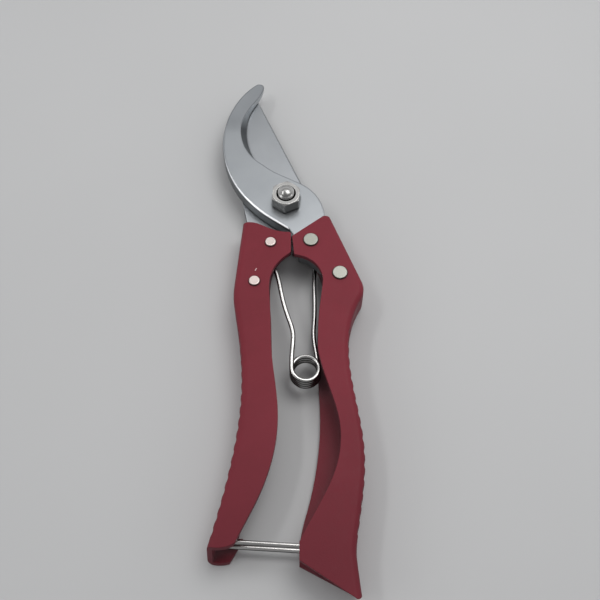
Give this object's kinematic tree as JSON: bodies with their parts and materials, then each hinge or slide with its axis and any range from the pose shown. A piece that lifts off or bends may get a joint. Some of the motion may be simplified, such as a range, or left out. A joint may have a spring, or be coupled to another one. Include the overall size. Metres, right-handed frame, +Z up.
{
  "type": "pruning shears",
  "caption": "Bypass pruning shears with a hooked counter blade, pressed channel handles in a red coat, a torsion spring between the grips and a wire lock across their ends",
  "frame": {"origin": "on the pivot axis, at the face of the bolt head, which lies on the table", "axes": "+Y along the blade to its tip, +Z up from the table along the pivot bolt to its nut, +X to the right when the nut faces up"},
  "size_m": [0.0528, 0.2059, 0.018],
  "materials": {
    "red_coat": "satin",
    "hook_steel": "satin",
    "blade_steel": "ground",
    "fastener_steel": "bright plated",
    "rivet_steel": "satin",
    "spring_wire": "bright plated",
    "lock_wire": "bright plated",
    "pin_steel": "plain"
  },
  "bodies": {
    "blade_side": {"cutting_blade": "blade_steel", "left_handle": "red_coat", "spring": "spring_wire", "lock_pin": "pin_steel", "left_upper_rivet": "rivet_steel", "left_upper_collar": "pin_steel", "left_lower_rivet": "rivet_steel", "left_lower_collar": "pin_steel"},
    "hook_side": {"hook_blade": "hook_steel", "right_handle": "red_coat", "pivot_bolt": "fastener_steel", "pivot_nut": "fastener_steel", "catch_pin": "pin_steel", "catch_collar": "pin_steel", "right_upper_rivet": "rivet_steel", "right_upper_collar": "pin_steel", "right_lower_rivet": "rivet_steel", "right_lower_collar": "pin_steel"},
    "lock": {"lock_wire": "lock_wire"}
  },
  "joints": [
    {"name": "handle_hinge", "type": "hinge", "parent": "blade_side", "child": "hook_side", "pos_m": [0, 0, 0.0058], "axis": [0, 0, 1], "range_deg": [0, 28], "deforming": ["spring"]},
    {"name": "lock_swing", "type": "hinge", "parent": "blade_side", "child": "lock", "pos_m": [-0.0172, -0.125, 0.0063], "axis": [0, 0, 1], "range_deg": [-95, 2]}
  ]
}
